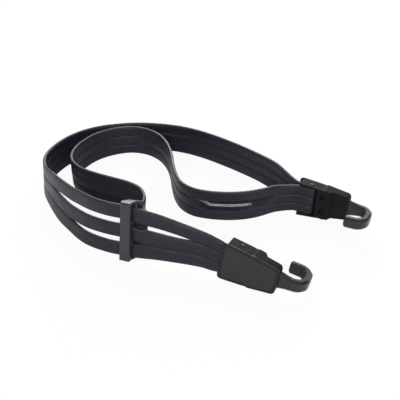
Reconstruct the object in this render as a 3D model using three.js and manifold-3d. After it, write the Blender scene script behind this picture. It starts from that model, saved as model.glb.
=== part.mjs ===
// Elastic luggage strap with a hook at each end and a two-bar slider, lying on its edge in a loop.
// Millimetres, +Z up. The floor is z = 0 and +X runs along the straight front stretch, towards the hooks.
import * as THREE from 'three';
import { mergeVertices } from 'three/addons/utils/BufferGeometryUtils.js';
import Module from 'manifold-3d';

const wasm = await Module();
wasm.setup();

// Fits
const CLEARANCE = 0.3;

// Strap: three strands side by side, parted by two slits that stand open beside the slider
const STRAND_WIDTH = 8;
const STRAND_COUNT = 3;
const STRAP_THICKNESS = 2.6;
const SPREAD_STRAND = 9.3;
const SPREAD_START_X = -109;
const SPREAD_FULL_X = -87;
const SLIT_OPENING = 3.5;
const UPPER_SLIT_END_X = -88;
const LOWER_SLIT_END_X = -63;
const SLIT_TAPER = 40;
const FRONT_SLIT_OPENING = 2.9;
const FRONT_SLIT_END_X = 27;
const MOUTH_STRAND = 7.6;
const GATHERED_STRAND = 6.7;
const GATHER_LENGTH = 22;
const FRONT_GATHER_X = 41;
const SEWN_END = 13;
const FRONT_JOIN = 6;
const FRONT_LAP = 1;
const STRAIGHT_RUN = 16;
const STEPS_PER_POINT = 2;

// Layout on the floor: place and lean of each fitting, the slider's turn, the dip of the front hook's tip
const SLIDER_X = -12;
const SLIDER_Y = -62.8;
const SLIDER_LEAN = THREE.MathUtils.degToRad(12);
const SLIDER_TURN = THREE.MathUtils.degToRad(7.5);
const FRONT_HOOK_X = 46.5;
const FRONT_HOOK_Y = -53;
const FRONT_HOOK_LEAN = THREE.MathUtils.degToRad(10);
const FRONT_HOOK_DIP = THREE.MathUtils.degToRad(6.5);
const REAR_HOOK_X = 64.8;
const REAR_HOOK_Y = 30;
const REAR_HOOK_LEAN = THREE.MathUtils.degToRad(-4.5);

// Hook ends: cover plate, forked body with the hook, strap bar and screws
const CHEEK_WALL = 2;
const BODY_INSET = 0.1;
const BODY_BACK = 3.9;
const COVER_LENGTH = 36.5;
const COVER_PLATE = 1.9;
const COVER_BEVEL = 0.6;
const COVER_CORNER = 3;
const COVER_NOTCH = 2;
const WAIST_SHARE = 0.9;
const SHOULDER_SHARE = 0.73;
const TIP_SHARE = 0.45;
const MOUTH_RELIEF = 1.1;
const BAR_RADIUS = 1.2;
const BAR_INSET = 10;
const BAR_RECESS = 0.4;
const FORK_START = 2.5;
const BLOCK_END = 24;
const BLOCK_RAKE = 2;
const SCREW_INSET = 19.5;
const SCREW_SPREAD = 11;
const SCREW_RADIUS = 1;
const SCREW_HEAD_RADIUS = 1.9;
const SCREW_HEAD_HEIGHT = 1.1;
const SCREW_BITE = 0.9;
const HOOK_GAP = 13;
const HOOK_THICKNESS = 5;
const HOOK_HEIGHT = 7.8;
const HOOK_ROOT_HEIGHT = 12;
const HOOK_ROOT_OVERLAP = 6;
const HOOK_CHAMFER = 1.4;
const HOOK_BEND = 6.5;
const HOOK_REACH = 53;
const HOOK_TIP = 14.5;
const HOOK_TIP_EDGE = 0.8;

// Slider: front bar ahead of the strap, rear bar behind it with the strap's end folded round it
const FRONT_BAR_WIDTH = 7;
const FRONT_BAR_THICKNESS = 3.5;
const REAR_BAR_WIDTH = 4;
const REAR_BAR_THICKNESS = 2.6;
const BAR_STAGGER = 5;
const LOWER_RAIL = 1.1;
const UPPER_RAIL = 1.9;
const HEADROOM = 1.6;
const REAR_RAIL_DROP = 2.3;
const SLIDER_ROUND = 1.2;
const FOLD_NECK_ANGLE = THREE.MathUtils.degToRad(65);

// Sizes that follow from the ones above
const SPREAD_WIDTH = SPREAD_STRAND * STRAND_COUNT + 2 * SLIT_OPENING;
const MOUTH_WIDTH = MOUTH_STRAND * STRAND_COUNT;
const GATHERED_WIDTH = GATHERED_STRAND * STRAND_COUNT;
const HALF_STRAP = STRAP_THICKNESS / 2;
const LAYER = BAR_RADIUS + CLEARANCE + HALF_STRAP;
const COVER_INSIDE = LAYER + HALF_STRAP + CLEARANCE;
const CHEEK_INSIDE = GATHERED_WIDTH / 2 + CLEARANCE;
const BODY_HALF = CHEEK_INSIDE + CHEEK_WALL;
const BODY_FRONT = COVER_INSIDE - CLEARANCE;
const COVER_WIDTH = 2 * (BODY_HALF + BODY_INSET);
const SHANK_V = BODY_FRONT - HOOK_THICKNESS / 2;
const SHANK_BACK = SHANK_V - HOOK_THICKNESS / 2;
const REAR_BAR_WRAP = Math.hypot(REAR_BAR_WIDTH, REAR_BAR_THICKNESS) / 2 + CLEARANCE + HALF_STRAP;
const FRONT_BAR_V = -(HALF_STRAP + CLEARANCE + FRONT_BAR_THICKNESS / 2);
const REAR_BAR_V = STRAP_THICKNESS + CLEARANCE + REAR_BAR_WRAP;
const RAIL_LOW = -(SPREAD_WIDTH / 2 + CLEARANCE);
const RAIL_HIGH = SPREAD_WIDTH / 2 + HEADROOM;

// Solids: conversion to and from the boolean library
function solidOf(geometry) {
  const bare = geometry.clone();
  bare.deleteAttribute('normal');
  bare.deleteAttribute('uv');
  const merged = mergeVertices(bare, 1e-4);
  const vertProperties = new Float32Array(merged.attributes.position.array);
  const triVerts = new Uint32Array(merged.index.array);
  return new wasm.Manifold(new wasm.Mesh({ numProp: 3, vertProperties, triVerts }));
}

function geometryOf(solid) {
  const mesh = solid.getMesh();
  const geometry = new THREE.BufferGeometry();
  geometry.setAttribute('position', new THREE.BufferAttribute(mesh.vertProperties, 3));
  geometry.setIndex(new THREE.BufferAttribute(mesh.triVerts, 1));
  geometry.computeVertexNormals();
  return geometry;
}

function signedVolume(positions, triangles) {
  const corner = (index) => new THREE.Vector3().fromArray(positions, 3 * index);
  let volume = 0;
  for (let i = 0; i < triangles.length; i += 3) {
    const [a, b, c] = [corner(triangles[i]), corner(triangles[i + 1]), corner(triangles[i + 2])];
    volume += a.dot(b.cross(c)) / 6;
  }
  return volume;
}

function closedGeometry(positions, quads) {
  const triangles = quads.flatMap(([a, b, c, d]) => (d === undefined ? [a, b, c] : [a, b, c, a, c, d]));
  if (signedVolume(positions, triangles) < 0) {
    triangles.reverse();
  }
  const geometry = new THREE.BufferGeometry();
  geometry.setAttribute('position', new THREE.Float32BufferAttribute(positions, 3));
  geometry.setIndex(triangles);
  const merged = mergeVertices(geometry, 1e-4);
  merged.computeVertexNormals();
  return merged;
}

// A tube through rings of equally many points, closed by fans at both ends
function loft(rings) {
  const count = rings[0].length;
  const positions = rings.flat().flatMap((point) => point.toArray());
  const quads = [];
  for (let i = 0; i + 1 < rings.length; i += 1) {
    for (let k = 0; k < count; k += 1) {
      const next = (k + 1) % count;
      quads.push([i * count + k, i * count + next, (i + 1) * count + next, (i + 1) * count + k]);
    }
  }
  const last = (rings.length - 1) * count;
  for (let k = 1; k + 1 < count; k += 1) {
    quads.push([0, k + 1, k]);
    quads.push([last, last + k, last + k + 1]);
  }
  return closedGeometry(positions, quads);
}

// Extrudes a shape drawn in x and z through the thickness, from y = low to y = high
function extrudeThrough(shape, low, high, bevel = 0) {
  const geometry = new THREE.ExtrudeGeometry(shape, {
    depth: high - low - 2 * bevel,
    bevelEnabled: bevel > 0,
    bevelThickness: bevel,
    bevelSize: bevel,
    bevelOffset: -bevel,
    bevelSegments: 2,
    curveSegments: 5,
  });
  geometry.rotateX(Math.PI / 2);
  geometry.translate(0, high - bevel, 0);
  return geometry;
}

function boxBetween(low, high) {
  const size = high.map((value, i) => value - low[i]);
  const geometry = new THREE.BoxGeometry(...size);
  geometry.translate(...high.map((value, i) => (value + low[i]) / 2));
  return geometry;
}

// Cover outline: square mouth at the strap, a small notch half way, rounded tip at the hook
function coverOutline(inset) {
  const half = COVER_WIDTH / 2 - inset;
  const waist = WAIST_SHARE * COVER_WIDTH / 2 - inset;
  const shoulder = SHOULDER_SHARE * COVER_WIDTH / 2 - inset;
  const tip = TIP_SHARE * COVER_WIDTH / 2 - inset;
  const start = inset;
  const end = COVER_LENGTH - inset;
  const notchAt = 0.5 * COVER_LENGTH;
  const shoulderAt = 0.9 * COVER_LENGTH;
  const upper = new THREE.Path();
  upper.moveTo(start, half - COVER_CORNER);
  upper.quadraticCurveTo(start, half, start + COVER_CORNER, half);
  upper.lineTo(notchAt - COVER_NOTCH, waist);
  upper.quadraticCurveTo(notchAt, waist - 0.3 * COVER_NOTCH, notchAt + COVER_NOTCH, waist);
  upper.lineTo(shoulderAt, shoulder);
  upper.quadraticCurveTo(end, shoulder, end, tip);
  const points = upper.getPoints(5);
  const mirrored = points.map((point) => new THREE.Vector2(point.x, -point.y)).reverse();
  return new THREE.Shape([...points, ...mirrored]);
}

// Turns a shape drawn in x and y into a prism that spans the cover's width and more
function prismAcross(shape) {
  const prism = new THREE.ExtrudeGeometry(shape, { depth: 2 * COVER_WIDTH, bevelEnabled: false });
  prism.translate(0, 0, -COVER_WIDTH);
  return prism;
}

function polygon(points) {
  return new THREE.Shape(points.map(([x, y]) => new THREE.Vector2(x, y)));
}

function throughHole(radius, x, z, low, high) {
  const hole = new THREE.CylinderGeometry(radius, radius, high - low, 16);
  hole.translate(x, (low + high) / 2, z);
  return hole;
}

const SCREW_PLACES = [-SCREW_SPREAD / 2, SCREW_SPREAD / 2];

function coverGeometry() {
  const outside = COVER_INSIDE + COVER_PLATE;
  let cover = solidOf(extrudeThrough(coverOutline(0), COVER_INSIDE, outside, COVER_BEVEL));
  const relief = polygon([
    [-COVER_BEVEL, COVER_INSIDE - COVER_PLATE],
    [BAR_INSET, COVER_INSIDE - COVER_PLATE],
    [BAR_INSET, COVER_INSIDE],
    [0, COVER_INSIDE + MOUTH_RELIEF],
    [-COVER_BEVEL, COVER_INSIDE + MOUTH_RELIEF],
  ]);
  cover = cover.subtract(solidOf(prismAcross(relief)));
  for (const z of SCREW_PLACES) {
    const hole = throughHole(SCREW_RADIUS + CLEARANCE, SCREW_INSET, z, 0, COVER_INSIDE + SCREW_BITE + CLEARANCE);
    cover = cover.subtract(solidOf(hole));
  }
  return geometryOf(cover);
}

// The hook's centre line: out along the shank, round two bends and back to the tip
function hookPath() {
  const arm = SHANK_V - HOOK_GAP - HOOK_THICKNESS;
  const far = HOOK_REACH - HOOK_THICKNESS / 2;
  const bendX = far - HOOK_BEND;
  const root = COVER_LENGTH - HOOK_ROOT_OVERLAP;
  const points = [];
  for (let i = 0; i <= 4; i += 1) {
    points.push(new THREE.Vector2(THREE.MathUtils.lerp(root, bendX, i / 4), SHANK_V));
  }
  for (const [centre, from] of [[SHANK_V - HOOK_BEND, Math.PI / 2], [arm + HOOK_BEND, 0]]) {
    for (let i = 1; i <= 6; i += 1) {
      const angle = from - (Math.PI / 2) * (i / 6);
      points.push(new THREE.Vector2(bendX + HOOK_BEND * Math.cos(angle), centre + HOOK_BEND * Math.sin(angle)));
    }
  }
  points.push(new THREE.Vector2(HOOK_REACH - HOOK_TIP, arm));
  points.push(new THREE.Vector2(HOOK_REACH - HOOK_TIP - HOOK_TIP_EDGE, arm));
  return points;
}

function hookRings() {
  const path = hookPath();
  const last = path.length - 1;
  return path.map((point, i) => {
    const along = path[Math.min(i + 1, last)].clone().sub(path[Math.max(i - 1, 0)]).normalize();
    const out = new THREE.Vector2(-along.y, along.x);
    const rootShare = i < 5 ? 1 - THREE.MathUtils.smoothstep(i, 0.5, 4) : 0;
    const edge = i === last ? HOOK_TIP_EDGE : 0;
    const halfHigh = THREE.MathUtils.lerp(HOOK_HEIGHT, HOOK_ROOT_HEIGHT, rootShare) / 2 - edge;
    const halfThick = HOOK_THICKNESS / 2 - edge;
    const corners = [
      [halfThick - HOOK_CHAMFER, -halfHigh], [halfThick, HOOK_CHAMFER - halfHigh],
      [halfThick, halfHigh - HOOK_CHAMFER], [halfThick - HOOK_CHAMFER, halfHigh],
      [HOOK_CHAMFER - halfThick, halfHigh], [-halfThick, halfHigh - HOOK_CHAMFER],
      [-halfThick, HOOK_CHAMFER - halfHigh], [HOOK_CHAMFER - halfThick, -halfHigh],
    ];
    return corners.map(([offset, z]) => {
      const place = point.clone().addScaledVector(out, offset);
      return new THREE.Vector3(place.x, place.y, z);
    });
  });
}

// Body: the cover's outline, forked for the strap and cut back behind the shank, with the hook joined on
function hookGeometry() {
  const below = -2 * BODY_BACK;
  const above = 2 * BODY_FRONT;
  let body = solidOf(extrudeThrough(coverOutline(BODY_INSET), -BODY_BACK, BODY_FRONT));
  const slotEnd = BAR_INSET + LAYER + HALF_STRAP + 2 * CLEARANCE;
  const slot = boxBetween([-FORK_START, below, -CHEEK_INSIDE], [slotEnd, above, CHEEK_INSIDE]);
  const mouth = boxBetween([-FORK_START, below, -COVER_WIDTH], [FORK_START, above, COVER_WIDTH]);
  const rakePerDepth = BLOCK_RAKE / (SHANK_BACK + BODY_BACK);
  const behindShank = polygon([
    [BLOCK_END + rakePerDepth * (below + BODY_BACK), below],
    [2 * COVER_LENGTH, below],
    [2 * COVER_LENGTH, SHANK_BACK],
    [BLOCK_END + BLOCK_RAKE, SHANK_BACK],
  ]);
  body = body.subtract(solidOf(slot)).subtract(solidOf(mouth)).subtract(solidOf(prismAcross(behindShank)));
  body = body.add(solidOf(loft(hookRings())));
  const barHole = new THREE.CylinderGeometry(BAR_RADIUS + CLEARANCE, BAR_RADIUS + CLEARANCE, 2 * COVER_WIDTH, 16);
  barHole.rotateX(Math.PI / 2);
  barHole.translate(BAR_INSET, 0, 0);
  body = body.subtract(solidOf(barHole));
  for (const z of SCREW_PLACES) {
    body = body.subtract(solidOf(throughHole(SCREW_RADIUS + CLEARANCE, SCREW_INSET, z, below, above)));
  }
  return geometryOf(body);
}

function barGeometry() {
  const bar = new THREE.CylinderGeometry(BAR_RADIUS, BAR_RADIUS, 2 * (BODY_HALF - BAR_RECESS), 16);
  bar.rotateX(Math.PI / 2);
  bar.translate(BAR_INSET, 0, 0);
  return bar;
}

function screwGeometry(z) {
  const seat = -BODY_BACK - CLEARANCE;
  const tip = COVER_INSIDE + SCREW_BITE;
  const profile = [
    [0, seat - SCREW_HEAD_HEIGHT],
    [0.7 * SCREW_HEAD_RADIUS, seat - SCREW_HEAD_HEIGHT],
    [SCREW_HEAD_RADIUS, seat - 0.4 * SCREW_HEAD_HEIGHT],
    [SCREW_HEAD_RADIUS, seat],
    [SCREW_RADIUS, seat],
    [SCREW_RADIUS, tip],
    [0, tip],
  ];
  const screw = new THREE.LatheGeometry(profile.map(([r, y]) => new THREE.Vector2(r, y)), 16);
  screw.translate(SCREW_INSET, 0, z);
  return screw;
}

// Slider: a ring in side view, cut to a tapering outline in plan so that its bars are staggered
function sliderGeometry() {
  const frontFace = FRONT_BAR_V - FRONT_BAR_THICKNESS / 2;
  const frontInside = FRONT_BAR_V + FRONT_BAR_THICKNESS / 2;
  const rearInside = REAR_BAR_V - REAR_BAR_THICKNESS / 2;
  const rearFace = REAR_BAR_V + REAR_BAR_THICKNESS / 2;
  const bottom = RAIL_LOW - LOWER_RAIL;
  const top = RAIL_HIGH + UPPER_RAIL;
  const knee = HALF_STRAP + CLEARANCE;
  const ring = new THREE.Shape();
  ring.moveTo(frontFace, bottom + SLIDER_ROUND);
  ring.quadraticCurveTo(frontFace, bottom, frontFace + SLIDER_ROUND, bottom);
  ring.lineTo(knee, bottom);
  ring.lineTo(rearFace, bottom + REAR_RAIL_DROP);
  ring.lineTo(rearFace, top - REAR_RAIL_DROP);
  ring.lineTo(knee, top);
  ring.lineTo(frontFace + SLIDER_ROUND, top);
  ring.quadraticCurveTo(frontFace, top, frontFace, top - SLIDER_ROUND);
  const window = new THREE.Path();
  window.moveTo(frontInside, RAIL_LOW);
  window.lineTo(frontInside, RAIL_HIGH);
  window.lineTo(knee, RAIL_HIGH);
  window.lineTo(rearInside, RAIL_HIGH - REAR_RAIL_DROP);
  window.lineTo(rearInside, RAIL_LOW + REAR_RAIL_DROP);
  window.lineTo(knee, RAIL_LOW);
  ring.holes.push(window);
  const reach = FRONT_BAR_WIDTH + BAR_STAGGER;
  const sideView = new THREE.ExtrudeGeometry(ring, { depth: 2 * reach, bevelEnabled: false, curveSegments: 4 });
  sideView.rotateX(Math.PI / 2);
  sideView.rotateZ(Math.PI / 2);
  sideView.translate(-reach, 0, 0);
  const plan = new THREE.Shape();
  const frontU = -BAR_STAGGER / 2;
  const rearU = BAR_STAGGER / 2;
  const frontHalf = FRONT_BAR_WIDTH / 2;
  const rearHalf = REAR_BAR_WIDTH / 2;
  plan.moveTo(frontU - frontHalf + SLIDER_ROUND, frontFace);
  plan.lineTo(frontU + frontHalf - SLIDER_ROUND, frontFace);
  plan.quadraticCurveTo(frontU + frontHalf, frontFace, frontU + frontHalf, frontFace + SLIDER_ROUND);
  plan.lineTo(frontU + frontHalf, frontInside);
  plan.lineTo(rearU + rearHalf, rearInside);
  plan.lineTo(rearU + rearHalf, rearFace - SLIDER_ROUND);
  plan.quadraticCurveTo(rearU + rearHalf, rearFace, rearU + rearHalf - SLIDER_ROUND, rearFace);
  plan.lineTo(rearU - rearHalf + SLIDER_ROUND, rearFace);
  plan.quadraticCurveTo(rearU - rearHalf, rearFace, rearU - rearHalf, rearFace - SLIDER_ROUND);
  plan.lineTo(rearU - rearHalf, rearInside);
  plan.lineTo(frontU - frontHalf, frontInside);
  plan.lineTo(frontU - frontHalf, frontFace + SLIDER_ROUND);
  plan.quadraticCurveTo(frontU - frontHalf, frontFace, frontU - frontHalf + SLIDER_ROUND, frontFace);
  const planView = new THREE.ExtrudeGeometry(plan, { depth: 3 * SPREAD_WIDTH, bevelEnabled: false, curveSegments: 4 });
  planView.translate(0, 0, -1.5 * SPREAD_WIDTH);
  return geometryOf(solidOf(sideView).intersect(solidOf(planView)));
}

// Frames that carry the fittings: u along the strap, v through it, w across its width.
// Each fitting is set down so that its lowest point rests on the floor.
function standOnFloor(x, y, roll, dip, turn, fittings) {
  const frame = new THREE.Group();
  frame.position.set(x, y, 0);
  frame.rotation.set(roll, dip, turn, 'ZYX');
  frame.updateMatrixWorld(true);
  const corner = new THREE.Vector3();
  let lowest = Infinity;
  for (const fitting of fittings) {
    const places = fitting.attributes.position;
    for (let i = 0; i < places.count; i += 1) {
      corner.fromBufferAttribute(places, i).applyMatrix4(frame.matrixWorld);
      lowest = Math.min(lowest, corner.z);
    }
  }
  frame.position.z = -lowest;
  frame.updateMatrixWorld(true);
  return frame;
}

const hookBody = hookGeometry();
const coverPlate = coverGeometry();
const sliderRing = sliderGeometry();
const sliderFrame = standOnFloor(SLIDER_X, SLIDER_Y, -SLIDER_LEAN, 0, SLIDER_TURN, [sliderRing]);
const hookEnd = [hookBody, coverPlate];
const frontHookFrame = standOnFloor(
  FRONT_HOOK_X, FRONT_HOOK_Y, Math.PI - FRONT_HOOK_LEAN, FRONT_HOOK_DIP, 0, hookEnd);
const rearHookFrame = standOnFloor(REAR_HOOK_X, REAR_HOOK_Y, REAR_HOOK_LEAN, 0, 0, hookEnd);

function inFrame(frame, u, v, w = 0) {
  return frame.localToWorld(new THREE.Vector3(u, v, w));
}

// The direction across the strap's width inside a fitting, pointing up
function upright(frame) {
  const across = new THREE.Vector3(0, 0, 1).transformDirection(frame.matrixWorld);
  return across.z > 0 ? across : across.negate();
}

// Strap: each station has a middle, an across direction and the edges of its three strands
function strandEdges(strand, upperGap, lowerGap) {
  const steps = [strand, lowerGap, strand, upperGap, strand];
  const total = steps.reduce((sum, step) => sum + step, 0);
  const edges = [-total / 2];
  for (const step of steps) {
    edges.push(edges[edges.length - 1] + step);
  }
  return edges;
}

const CLOSED_EDGES = strandEdges(STRAND_WIDTH, 0, 0);
const GATHERED_EDGES = strandEdges(GATHERED_STRAND, 0, 0);

function band(stations) {
  const positions = [];
  const edgeCount = 2 * STRAND_COUNT;
  stations.forEach((station, i) => {
    const before = stations[Math.max(i - 1, 0)].middle;
    const after = stations[Math.min(i + 1, stations.length - 1)].middle;
    const along = station.along ?? after.clone().sub(before);
    const through = along.clone().cross(station.across).normalize().multiplyScalar(HALF_STRAP);
    for (const edge of station.edges) {
      const onEdge = station.middle.clone().addScaledVector(station.across, edge);
      positions.push(...onEdge.clone().sub(through).toArray(), ...onEdge.add(through).toArray());
    }
  });
  const at = (i, edge, side) => 2 * (i * edgeCount + edge) + side;
  const gapAt = (i, edge) => stations[i].edges[edge + 1] - stations[i].edges[edge];
  const quads = [];
  const wall = (i, edge, flip) => {
    const quad = [at(i, edge, 0), at(i, edge, 1), at(i + 1, edge, 1), at(i + 1, edge, 0)];
    quads.push(flip ? quad.reverse() : quad);
  };
  for (let i = 0; i + 1 < stations.length; i += 1) {
    for (let low = 0; low < edgeCount; low += 2) {
      const high = low + 1;
      quads.push([at(i, low, 1), at(i, high, 1), at(i + 1, high, 1), at(i + 1, low, 1)]);
      quads.push([at(i, low, 0), at(i + 1, low, 0), at(i + 1, high, 0), at(i, high, 0)]);
      const belowOpen = low === 0 || gapAt(i, low - 1) > 0 || gapAt(i + 1, low - 1) > 0;
      const aboveOpen = high === edgeCount - 1 || gapAt(i, high) > 0 || gapAt(i + 1, high) > 0;
      if (belowOpen) {
        wall(i, low, false);
      }
      if (aboveOpen) {
        wall(i, high, true);
      }
    }
  }
  const end = stations.length - 1;
  for (let low = 0; low < edgeCount; low += 2) {
    quads.push([at(0, low, 0), at(0, low + 1, 0), at(0, low + 1, 1), at(0, low, 1)]);
    quads.push([at(end, low, 0), at(end, low, 1), at(end, low + 1, 1), at(end, low + 1, 0)]);
  }
  return closedGeometry(positions, quads);
}

function stationAt(middle, across, edges = CLOSED_EDGES) {
  return { middle, across, edges };
}

// Hand-placed route rows are [x, y, height of the lower edge, lean in degrees towards the right of travel]
function routeStations(rows, edgesAt = () => CLOSED_EDGES) {
  const places = new THREE.CatmullRomCurve3(
    rows.map(([x, y, lift]) => new THREE.Vector3(x, y, lift)), false, 'catmullrom', 0.5);
  const leans = new THREE.CatmullRomCurve3(
    rows.map((row) => new THREE.Vector3(row[3], 0, 0)), false, 'catmullrom', 0.5);
  const count = (rows.length - 1) * STEPS_PER_POINT;
  const stations = [];
  for (let i = 0; i <= count; i += 1) {
    const place = places.getPoint(i / count);
    const along = places.getTangent(i / count);
    const lean = THREE.MathUtils.degToRad(leans.getPoint(i / count).x);
    const right = new THREE.Vector3(along.y, -along.x, 0).normalize();
    const across = right.multiplyScalar(Math.sin(lean));
    across.z = Math.cos(lean);
    const edges = edgesAt(place.x, place.y);
    place.z += HALF_STRAP * Math.abs(Math.sin(lean)) - edges[0] * across.z;
    stations.push({ ...stationAt(place, across, edges), along });
  }
  return stations;
}

// A slit opens fast from its end and then keeps an even width up to the slider
function slitShare(x, end) {
  const share = THREE.MathUtils.clamp((x - end) / SLIT_TAPER, 0, 1);
  return 1 - (1 - share) ** 2;
}

// Outer loop: from the slider round the left turn and along the back to the rear hook
const OUTER_ROUTE = [
  [-43.5, -63, 0.9, 15],
  [-59.5, -57, 0.6, 16],
  [-75.5, -49.5, 0.4, 15],
  [-90.8, -40.3, 0.2, 11],
  [-106.3, -28.7, 0, 7],
  [-115.2, -16, 0, 3],
  [-118.2, -1, 0, 0],
  [-118, 13.2, 0, 0],
  [-114.5, 26.6, 0, 0],
  [-107.5, 38.8, 0, 0],
  [-96.6, 49.6, 0, 0],
  [-81.7, 59.5, 0, 0],
  [-64.2, 66.4, 0, 0],
  [-46, 70, 0, 0],
  [-27.5, 69.6, 0, 0],
  [-8.5, 66.2, 0, 0],
  [10.5, 61, 0.2, 1],
  [28.5, 54.4, 0.6, 2],
  [42, 47.7, 1, 0],
  [53, 40.2, 1.5, -1],
];

// Inner run: from the rear hook through the S bend and a second left turn to the fold in the slider
const INNER_ROUTE = [
  [57.4, 24.4, 1.7, 0],
  [51.6, 19.4, 1.2, -2],
  [46.5, 12.6, 0.8, -4],
  [39.7, 6, 0.5, -4],
  [31.8, 0.7, 0.3, -4],
  [22.5, -3.3, 0, -4],
  [12.5, -6.3, 0, -4],
  [2.5, -7, 0, -3],
  [-7.6, -3.5, 0, -2],
  [-16.4, 4.6, 0, 0],
  [-24.8, 15.9, 0, 0],
  [-33.4, 29, 0, 0],
  [-43.8, 41.4, 0, 0],
  [-55.8, 50.4, 0, 0],
  [-68.9, 54.2, 0, 0],
  [-82.5, 51.8, 0, 0],
  [-93.3, 42.8, 0, 0],
  [-100.8, 30, 0, 0],
  [-103.3, 13.5, 0, 0],
  [-100.8, -1, 0, 0],
  [-95, -10.4, 0, 0],
  [-86, -16.8, 0.2, 0],
  [-76, -20.1, 0.6, 0],
  [-63.5, -21.9, 1.2, -1],
  [-50.5, -22.8, 1.8, -2],
  [-38, -23.9, 2.4, -3],
  [-27.5, -27.2, 2.8, -4],
  [-20, -34.6, 3, -5],
];
const TAIL_START_ROW = 19;

function outerEdges(x, y) {
  if (y < 0) {
    const upper = slitShare(x, UPPER_SLIT_END_X);
    const lower = slitShare(x, LOWER_SLIT_END_X);
    const slack = THREE.MathUtils.smoothstep(x, SPREAD_START_X, SPREAD_FULL_X);
    const strand = THREE.MathUtils.lerp(STRAND_WIDTH, SPREAD_STRAND, slack);
    return strandEdges(strand, SLIT_OPENING * upper, SLIT_OPENING * lower);
  }
  return rearEdges(x);
}

// The strap is gathered to pass between the cheeks of a hook
function rearEdges(x) {
  const gather = THREE.MathUtils.smoothstep(x, REAR_HOOK_X - GATHER_LENGTH, REAR_HOOK_X);
  return strandEdges(THREE.MathUtils.lerp(STRAND_WIDTH, GATHERED_STRAND, gather), 0, 0);
}

function frontEdges(x) {
  const gather = THREE.MathUtils.clamp((x - SLIDER_X) / (FRONT_GATHER_X - SLIDER_X), 0, 1);
  const width = THREE.MathUtils.lerp(SPREAD_WIDTH, MOUTH_WIDTH, gather);
  const share = THREE.MathUtils.clamp((x - SLIDER_X) / (FRONT_SLIT_END_X - SLIDER_X), 0, 1);
  const gap = FRONT_SLIT_OPENING * (1 - share ** 4);
  return strandEdges((width - gap) / STRAND_COUNT, gap, 0);
}

function arcStations(frame, edges, centreU, centreV, radius, from, to, steps) {
  const across = upright(frame);
  const stations = [];
  for (let i = 0; i <= steps; i += 1) {
    const angle = from + ((to - from) * i) / steps;
    const middle = inFrame(frame, centreU + radius * Math.cos(angle), centreV + radius * Math.sin(angle));
    const clockwise = new THREE.Vector3(Math.sin(angle), -Math.cos(angle), 0);
    const along = clockwise.transformDirection(frame.matrixWorld);
    stations.push({ ...stationAt(middle, across, edges), along });
  }
  return stations;
}

// The free strap's cut faces stand half a clearance to each side of where two stretches meet
const HALF_GAP = CLEARANCE / 2;

function strapOuter() {
  const across = upright(sliderFrame);
  const stations = [];
  for (const u of [-HALF_GAP, -STRAIGHT_RUN / 2, -STRAIGHT_RUN]) {
    const middle = inFrame(sliderFrame, u, 0);
    stations.push(stationAt(middle, across, outerEdges(middle.x, middle.y)));
  }
  stations.push(...routeStations(OUTER_ROUTE, outerEdges));
  const hookAcross = upright(rearHookFrame);
  for (const u of [0, BAR_INSET / 2]) {
    stations.push(stationAt(inFrame(rearHookFrame, u, LAYER), hookAcross, GATHERED_EDGES));
  }
  const gapAngle = HALF_GAP / LAYER;
  stations.push(...arcStations(rearHookFrame, GATHERED_EDGES, BAR_INSET, 0, LAYER, Math.PI / 2, gapAngle, 4));
  return band(stations);
}

function strapReturn() {
  const hookAcross = upright(rearHookFrame);
  const gapAngle = HALF_GAP / LAYER;
  const stations = arcStations(
    rearHookFrame, GATHERED_EDGES, BAR_INSET, 0, LAYER, -gapAngle, -Math.PI / 2, 4);
  for (const u of [BAR_INSET / 2, 0]) {
    stations.push(stationAt(inFrame(rearHookFrame, u, -LAYER), hookAcross, GATHERED_EDGES));
  }
  stations.push(...routeStations(INNER_ROUTE, rearEdges).slice(0, TAIL_START_ROW * STEPS_PER_POINT + 1));
  return band(stations);
}

// The tail's end goes once round the slider's rear bar and is sewn to itself along the neck of the fold
function strapTail() {
  const route = routeStations(INNER_ROUTE).slice(TAIL_START_ROW * STEPS_PER_POINT);
  route[0].middle.addScaledVector(route[0].along, CLEARANCE);
  const across = upright(sliderFrame);
  const barU = BAR_STAGGER / 2;
  const neck = new THREE.Vector2(-Math.cos(FOLD_NECK_ANGLE), Math.sin(FOLD_NECK_ANGLE));
  const side = new THREE.Vector2(neck.y, -neck.x);
  const neckStation = (reach, offset) => {
    const u = barU + neck.x * reach + side.x * offset;
    const v = REAR_BAR_V + neck.y * reach + side.y * offset;
    return stationAt(inFrame(sliderFrame, u, v), across);
  };
  const pinch = HALF_STRAP + HALF_GAP;
  const half = (pinch + REAR_BAR_WRAP) / 2;
  const wrapStart = Math.PI / 2 - FOLD_NECK_ANGLE;
  const wrapEnd = wrapStart - Math.PI;
  return band([
    ...route,
    neckStation(SEWN_END, pinch),
    neckStation(0.7 * SEWN_END, pinch),
    neckStation(0.35 * SEWN_END, half),
    ...arcStations(sliderFrame, CLOSED_EDGES, barU, REAR_BAR_V, REAR_BAR_WRAP, wrapStart, wrapEnd, 8),
    neckStation(0.35 * SEWN_END, -half),
    neckStation(0.7 * SEWN_END, -pinch),
    neckStation(SEWN_END, -pinch),
  ]);
}

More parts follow.
